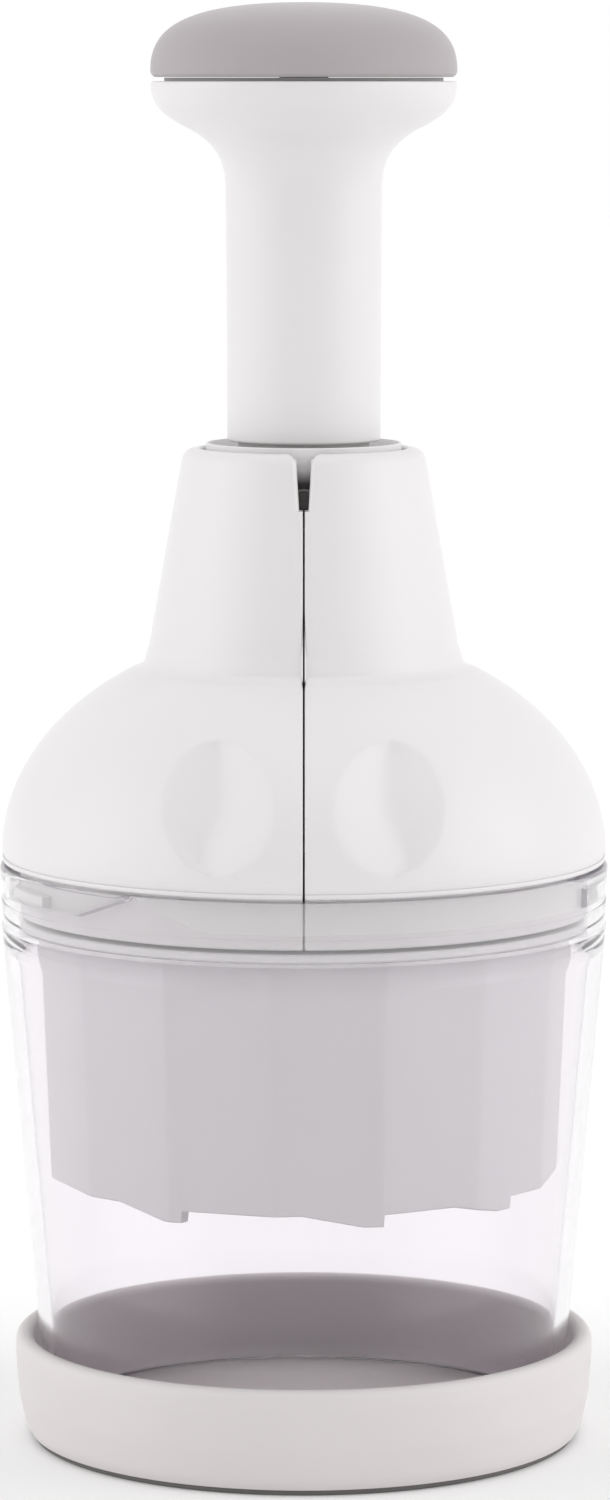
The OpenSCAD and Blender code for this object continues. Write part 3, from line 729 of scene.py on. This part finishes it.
def split_at(points, flags, height):
    """Adds points just under and over a height wherever the outline crosses it."""
    out, kept = [], []
    for i, p in enumerate(points):
        q = points[(i + 1) % len(points)]
        out.append(p)
        kept.append(flags[i])
        if (p[1] - height) * (q[1] - height) < 0:
            step = 0.04 if q[1] > p[1] else -0.04
            for z in (height - step, height + step):
                t = (z - p[1]) / (q[1] - p[1])
                if 0 < t < 1:
                    out.append((p[0] + (q[0] - p[0]) * t, z))
                    kept.append(flags[i] and flags[(i + 1) % len(points)])
    return out, kept


def cap_bands(points, heights):
    """Outline indices of the cap below, between and above the heights, with a strip at each height."""
    loop, bands = list(range(len(points))), []
    for height in heights:
        n = len(loop)
        over = [points[i][1] > height for i in loop]
        crossings = [k for k in range(n) if over[k] != over[(k + 1) % n]]
        if len(crossings) != 2:
            continue
        i, j = crossings
        inner, outer = loop[i + 1:j + 1], loop[j + 1:] + loop[:i + 1]
        bands.append([loop[i], loop[i + 1], loop[j], loop[(j + 1) % n]])
        bands.append(outer if over[i + 1] else inner)
        loop = inner if over[i + 1] else outer
    return bands + [loop]


def seam_half(z):
    """Half the gap between the shells: a thin seam, then the V notch over the hinge."""
    if z < HINGE_Z:
        return SEAM_HALF
    half = NOTCH_HALF + (z - HINGE_Z) * NOTCH_SLOPE
    over = z - (shell_hi[2] - FLARE_HEIGHT)
    if over > 0:
        half += FLARE_WIDTH * (1 - math.sqrt(max(0, 1 - (over / (FLARE_HEIGHT + 0.05)) ** 2)))
    return half


def seam_round(z):
    """Radius of the rounded edge along the seam, wider beside the notch."""
    share = min(1, max(0, (z - HINGE_Z + 3) / 5))
    under_lip = min(1, max(0, (shell_hi[2] - z - 0.5) / 1.5))
    return 0.4 + 0.5 * share * under_lip


def dimple_depth(x, z):
    """Depth of the thumb scoop at a place on the front, x counted outwards from the seam."""
    v = (z - DIMPLE_Z) / DIMPLE_HALF_H
    if abs(v) >= 1:
        return 0.0
    half = DIMPLE_HALF_W * math.sqrt(1 - v * v)
    u = x - DIMPLE_X
    if abs(u) >= half:
        return 0.0
    fall = min(1, max(0, 0.35 - v) / 1.3)
    crease = 0.3 + 3.4 * fall * fall * (3 - 2 * fall)
    crease = min(crease, 0.75 * half)
    s = (u - crease) / (half - crease) if u > crease else (crease - u) / (half + crease)
    soft = 0.16
    rise = (math.sqrt(s * s + soft * soft) - soft) / (math.sqrt(1 + soft * soft) - soft)
    return DIMPLE_DEPTH * (half / DIMPLE_HALF_W) ** 1.1 * (1 - rise**1.12)


def dimpled(x, y, z):
    """A place on the dome with the thumb scoop pressed in."""
    depth = dimple_depth(x, z)
    if depth <= 0:
        return x, y, z
    normal = np.array([x / DOME_R**2, y / DOME_R**2, (z - DOME_Z) / DOME_RISE**2])
    normal *= depth / np.linalg.norm(normal)
    return x - normal[0], y - normal[1], z - normal[2]


def unit_rows(vectors):
    """The same vectors, each one unit long."""
    return vectors / np.linalg.norm(vectors, axis=1)[:, None]


def build_shell(side):
    """One shell as a grid: rows follow the outline, columns run from the front seam to the rear."""
    points, flags = shell_outlines()
    for height in CAP_BREAKS:
        points, flags = split_at(points, flags, height)
    n = len(points)
    pts = np.array(points)
    along = unit_rows(unit_rows(np.roll(pts, -1, 0) - pts) + unit_rows(pts - np.roll(pts, 1, 0)))
    inward = np.stack([-along[:, 1], along[:, 0]], 1)
    verts, rows = [], []
    for i in range(n):
        r, z = pts[i]
        half, edge = seam_half(z), seam_round(z)
        start = math.asin(min(1, (half + edge) / r))
        rounding = []
        for k in range(BEVEL_STEPS):
            a = math.pi / 2 * k / BEVEL_STEPS
            p = pts[i] + inward[i] * edge * (1 - math.sin(a))
            rounding.append((p, half + edge * (1 - math.cos(a))))
        # Cells are (point, x, which seam) on the rounded edges and (point, angle, 0) between them.
        cells = [(p, x, 1) for p, x in rounding]
        for k in range(SHELL_COLUMNS + 1):
            cells.append((pts[i], start + k / SHELL_COLUMNS * (math.pi - 2 * start), 0))
        cells += [(p, x, -1) for p, x in reversed(rounding)]
        row = []
        for (p_r, p_z), where, seam in cells:
            if seam:
                spot = where, -seam * math.sqrt(max(0, p_r**2 - where**2)), p_z
            else:
                spot = p_r * math.sin(where), -p_r * math.cos(where), p_z
                if flags[i]:
                    spot = dimpled(*spot)
            row.append(len(verts))
            verts.append((side * spot[0], *spot[1:]))
        rows.append(row)
    faces = []
    for i in range(n):
        a, b = rows[i], rows[(i + 1) % n]
        for k in range(len(a) - 1):
            faces.append([a[k], a[k + 1], b[k + 1], b[k]])
    for band in cap_bands(points, CAP_BREAKS):
        faces += [[rows[i][0] for i in band], [rows[i][-1] for i in band]]
    node = "shell_left" if side < 0 else "shell_right"
    shell = make_piece(f"{node}_moulding", verts, faces, SHELL_WHITE, SHELL_SHARP)
    place(shell, node, "shell_white", node)


def build_catches(side):
    """Bayonet lug outside the skirt and the hook rib inside it."""
    name = "left" if side < 0 else "right"
    lug_phi, hook_phi = LUG_PHI[side], side * 90
    lug = fillets([(48.9, 96.4, 0), (50.8, 96.4, 0.3), (50.8, 98.3, 0.3), (48.9, 98.3, 0)], 3)
    hook = fillets([(45.6, 93, 0.2), (47.3, 93, 0), (47.3, 94.4, 0), (45.6, 94.4, 0.2)], 3)
    for part, outline, middle, reach, segments in (
            ("bayonet_lug", lug, lug_phi, LUG_REACH, 16), ("hook_rib", hook, hook_phi, HOOK_REACH, 80)):
        span = middle - reach, middle + reach
        piece = ring_sector(f"{part}_{name}", outline, *span, SHELL_WHITE, segments)
        place(piece, f"shell_{name}", "shell_white")


def build_knuckles(side):
    """Ears that turn on the hinge pins; the left shell's sit outside the right's."""
    name = "left" if side < 0 else "right"
    near, reach = KNUCKLE_Y[side], KNUCKLE_REACH[side]
    arm_low, arm_high = -2.7, 1.9
    start = math.asin(arm_high / KNUCKLE_R)
    sweep = TURN - start + math.asin(arm_low / KNUCKLE_R)
    outline = [(reach, arm_low), (reach, arm_high)]
    for k in range(25):
        a = start + sweep * k / 24
        outline.append((KNUCKLE_R * math.cos(a), KNUCKLE_R * math.sin(a)))
    for end, place_name in ((-1, "front"), (1, "rear")):
        verts = [(side * x, end * y, HINGE_Z + z)
                 for y in (near, near + KNUCKLE_WIDTH) for x, z in outline]
        faces = tube_faces(2, len(outline))
        # Painted shade: the knuckles take the notch colour, which is darker towards the bottom of the
        # notch.
        knuckle = make_piece(f"knuckle_{name}_{place_name}", verts, faces, NOTCH_PAINTED_SHADE)
        place(knuckle, f"shell_{name}", "shell_white")


for shell_side in (-1, 1):
    build_shell(shell_side)
    build_catches(shell_side)
    build_knuckles(shell_side)


RING_BORE = 14.4
RING_OUTER_R = 16.85
RING_WAIST_Z = 165.2
RING_BOWL = [(16.05, 173.1, 0.2), (15.1, 171.7, 0.6)]


def build_stop_ring():
    """Ring round the column, light at its lip and darker towards its foot with painted shade; its bowl
    follows the knob's flare at full press.
    """
    tube, foot, lip = ring_hi[0] + 0.05, ring_lo[2] + 0.05, shell_hi[2] + 0.8
    corners = [(RING_BORE, foot, 0), (tube, foot, 0), (tube, RING_WAIST_Z, 0.1),
               (RING_OUTER_R, RING_WAIST_Z, 0.1), (RING_OUTER_R, lip, 0.25),
               (RING_OUTER_R - 0.4, lip, 0.1), *RING_BOWL]
    outline = fillets(corners, 5)
    # Painted shade: the ring takes the notch colour, which is darker below the lip.
    ring = lathe("stop_ring_moulding", outline, NOTCH_PAINTED_SHADE)
    place(ring, "head", "shell_white", "stop_ring")


build_stop_ring()


# ---- knob and column ---------------------------------------------------------------------

COLUMN_R = 13.4
COLUMN_BORE = 11.8
KNOB_WELL_Z = 230.2


def build_knob():
    """Hollow column that flares into the knob's cup."""
    top, foot = knob_hi[2], knob_lo[2]
    waist, hem = foot + 43, foot - 0.3
    well_r, bend = KNOB_R - 2.1, (20, waist + 10.3)
    outline = [(COLUMN_BORE, KNOB_WELL_Z + 0.3), (COLUMN_BORE, hem + 0.4), (COLUMN_BORE + 0.4, hem)]
    outline += fillets([(11, hem, 0), (COLUMN_R - 0.2, hem, 0.5), (COLUMN_R, waist, 0)], 6)[1:-1]
    outline += bezier((COLUMN_R, waist), (COLUMN_R, waist + 5.6), (16, waist + 8.2), bend, 24)
    outline += bezier(bend, (23.5, waist + 12.1), (KNOB_R, waist + 13.8), (KNOB_R, top - 0.5), 24)[1:]
    outline += fillets([(KNOB_R, top - 2, 0), (KNOB_R, top, 0.4), (well_r, top, 0.3),
                        (well_r, 233.1, 1), (18.5, KNOB_WELL_Z, 0.5),
                        (COLUMN_BORE, KNOB_WELL_Z, 0)], 5)[1:-1]
    knob = lathe("knob_column_moulding", densify(outline, 9), SHELL_WHITE)
    place(knob, "handle", "shell_white", "knob_column")


def build_pad():
    """Crowned soft pad, hollow over the screw in the knob's plate."""
    low, top = pad_lo[2], pad_hi[2]
    under, hollow_z, seat_r = plate_hi[2] + 0.1, top - 8.4, PAD_R - 1.6
    outline = [(0, hollow_z), (8.6, hollow_z), (9, hollow_z - 0.4), (9, under), (seat_r, under)]
    outline += fillets([(seat_r, under, 0), (PAD_R - 0.75, under, 0.25),
                        (PAD_R - 0.15, under + 0.5, 0.35), (PAD_R, under + 2, 0)], 5)[1:-1]
    outline += bezier((PAD_R - 0.03, low + 1.0), (PAD_R + 0.12, low + 8.2), (21, top), (0, top), 40)
    pad = lathe("grip_pad_soft", outline, SOFT_GREY)
    place(pad, "handle", "soft_grey", "grip_pad")


build_knob()
build_pad()


# ---- return spring --------------------------------------------------------------------------

WIRE_R = 0.7
SPRING_TURNS = 16
STEPS_PER_TURN = 36
WIRE_SIDES = 10
CLOSED_TURNS = 1.2


def build_spring():
    """Compression spring: open coils between a closed coil at each end."""
    mean_r = spring_hi[0] - WIRE_R
    bottom, top = spring_lo[2] + WIRE_R, spring_hi[2] - WIRE_R
    open_turns = SPRING_TURNS - 2 * CLOSED_TURNS
    pitch = (top - bottom - 2 * CLOSED_TURNS * 2 * WIRE_R) / open_turns
    rows = SPRING_TURNS * STEPS_PER_TURN + 1
    verts = []
    for i in range(rows):
        turn = i / STEPS_PER_TURN
        a = TURN * turn
        live = min(max(turn - CLOSED_TURNS, 0), open_turns)
        z = bottom + live * pitch + (turn - live) * 2 * WIRE_R
        for k in range(WIRE_SIDES):
            b = TURN * k / WIRE_SIDES
            r = mean_r + WIRE_R * math.cos(b)
            verts.append((r * math.cos(a), r * math.sin(a), z + WIRE_R * math.sin(b)))
    spring = make_piece("return_spring_wire", verts, tube_faces(rows, WIRE_SIDES), BRIGHT_STEEL, 60)
    place(spring, "handle", "steel", "return_spring")
    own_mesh(spring)


build_spring()


# ---- blades -----------------------------------------------------------------------------------

CENTRE_PATH = [(-36.5, -7), (-18, 9), (0, -9.6), (18, 9), (36.5, -7)]
SIDE_PATH = [(-30, 16.5), (-15, 30), (2, 15.5), (19, 30), (31, 18)]
BLADE_HALF = 0.3
EDGE_HALF = 0.03
EDGE_HEIGHT = 1.9


def rounded_path(path, radius=1.3, steps=5):
    """Open plan line with its bends rounded."""
    corners = [(x, y, radius if 0 < i < len(path) - 1 else 0) for i, (x, y) in enumerate(path)]
    return np.array(fillets(corners, steps))


def build_blade(name, node, path, turned):
    """Steel strip along a zigzag path, ground to an edge at its foot."""
    line = rounded_path([(-x, -y) if turned else (x, y) for x, y in path])
    step = np.gradient(line, axis=0)
    step /= np.linalg.norm(step, axis=1)[:, None]
    side = np.stack([-step[:, 1], step[:, 0]], 1)
    bottom, top = blade_lo[2], blade_hi[2]
    grind = bottom + EDGE_HEIGHT
    section = [(EDGE_HALF, bottom), (BLADE_HALF, grind), (BLADE_HALF, top),
               (-BLADE_HALF, top), (-BLADE_HALF, grind), (-EDGE_HALF, bottom)]
    verts = []
    for p, s in zip(line, side):
        verts += [(p[0] + s[0] * d, p[1] + s[1] * d, z) for d, z in section]
    blade = make_piece(name, verts, tube_faces(len(line), len(section)), BLADE_STEEL, 20)
    place(blade, "rotor", "blade_steel", node)


build_blade("blade_centre_strip", "blade_centre", CENTRE_PATH, False)
build_blade("blade_left_strip", "blade_left", SIDE_PATH, False)
build_blade("blade_right_strip", "blade_right", SIDE_PATH, True)


# ---- carried-over CAD nodes ---------------------------------------------------------------------

def finish_node(node, material, sharp_deg=30):
    """Gives a CAD node its material and shades its round faces smooth."""
    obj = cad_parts[node]
    obj.data.materials.clear()
    obj.data.materials.append(material)
    for poly in obj.data.polygons:
        poly.use_smooth = True
    obj.data.set_sharp_from_angle(angle=math.radians(sharp_deg))


for node_name, node_material in {
    "wiper_plate": GUARD_WHITE, "blade_carrier": GUARD_WHITE, "core_frame": INNER_GREY,
    "hinge_pin_front": PIN_STEEL, "hinge_pin_rear": PIN_STEEL,
    "drive_nut": INNER_GREY, "follower_pins": BRIGHT_STEEL, "wave_washer": BRIGHT_STEEL,
    "nut_retainer": INNER_GREY, "retainer_screws": BRIGHT_STEEL, "knob_plate": INNER_GREY,
    "shaft_bush": BUSH_BRASS, "shaft_washer": BRIGHT_STEEL, "shaft_screw": BRIGHT_STEEL,
    "grooved_shaft": CAST_ALLOY, "hub_screw": BRIGHT_STEEL}.items():
    finish_node(node_name, node_material)


# ---- floor, light --------------------------------------------------------------------------------

FLOOR_HALF = 9.0
FLOOR_TONE = 0.86
FLOOR_GLOW = 0.09
FRONT_LIGHT = 0.42
BACK_LIGHT = 0.86
LEFT_LIGHT = 1.5
RIGHT_LIGHT = 1.8
TOP_LIGHT = 0.26
LIGHT_BOUNCES = 32


def build_floor():
    """Pale table top with a faint glow of its own, as on a light table."""
    mesh = bpy.data.meshes.new("floor")
    corners = [(x * FLOOR_HALF, y * FLOOR_HALF, 0) for x, y in ((-1, -1), (1, -1), (1, 1), (-1, 1))]
    mesh.from_pydata(corners, [], [(0, 1, 2, 3)])
    mat, _, shader = new_material("floor_white")
    shader.inputs["Base Color"].default_value = (FLOOR_TONE, FLOOR_TONE, FLOOR_TONE, 1)
    shader.inputs["Roughness"].default_value = 0.9
    shader.inputs["Specular IOR Level"].default_value = 0.1
    shader.inputs["Emission Color"].default_value = (1, 1, 1, 1)
    shader.inputs["Emission Strength"].default_value = FLOOR_GLOW
    mesh.materials.append(mat)
    floor = bpy.data.objects.new("floor", mesh)
    bpy.context.scene.collection.objects.link(floor)


def add_math(tree, operation, a, b):
    """Two values joined by a maths node."""
    node = tree.nodes.new("ShaderNodeMath")
    node.operation = operation
    tree.links.new(a, node.inputs[0])
    tree.links.new(b, node.inputs[1])
    return node.outputs["Value"]


def build_light():
    """White studio all round: bright walls at both sides, white behind, dim on the camera's side."""
    world = bpy.data.worlds.new("studio")
    world.use_nodes = True
    tree = world.node_tree
    back = tree.nodes["Background"]
    back.inputs["Color"].default_value = (1, 1, 1, 1)
    coords = tree.nodes.new("ShaderNodeTexCoord")
    split = tree.nodes.new("ShaderNodeSeparateXYZ")
    tree.links.new(coords.outputs["Generated"], split.inputs["Vector"])
    base = add_smooth(tree, split.outputs["Y"], -1.0, 0.2, FRONT_LIGHT, BACK_LIGHT)
    right = add_smooth(tree, split.outputs["X"], 0.5, 0.95, 0, RIGHT_LIGHT)
    left = add_smooth(tree, split.outputs["X"], -0.5, -0.95, 0, LEFT_LIGHT)
    side = add_math(tree, "ADD", right, left)
    not_behind = add_smooth(tree, split.outputs["Y"], -0.3, 0.5, 1, 0)
    glow = add_smooth(tree, split.outputs["Y"], 0.9, 0.97, 0, 1.0 - BACK_LIGHT)
    top = add_smooth(tree, split.outputs["Z"], 0.3, 0.9, 0, TOP_LIGHT)
    total = add_math(tree, "ADD", base, add_math(tree, "MULTIPLY", side, not_behind))
    total = add_math(tree, "ADD", total, glow)
    tree.links.new(add_math(tree, "ADD", total, top), back.inputs["Strength"])
    bpy.context.scene.world = world
    bpy.context.scene.view_settings.view_transform = "Standard"
    bpy.context.scene.cycles.max_bounces = LIGHT_BOUNCES
    bpy.context.scene.cycles.transmission_bounces = LIGHT_BOUNCES


build_floor()
build_light()
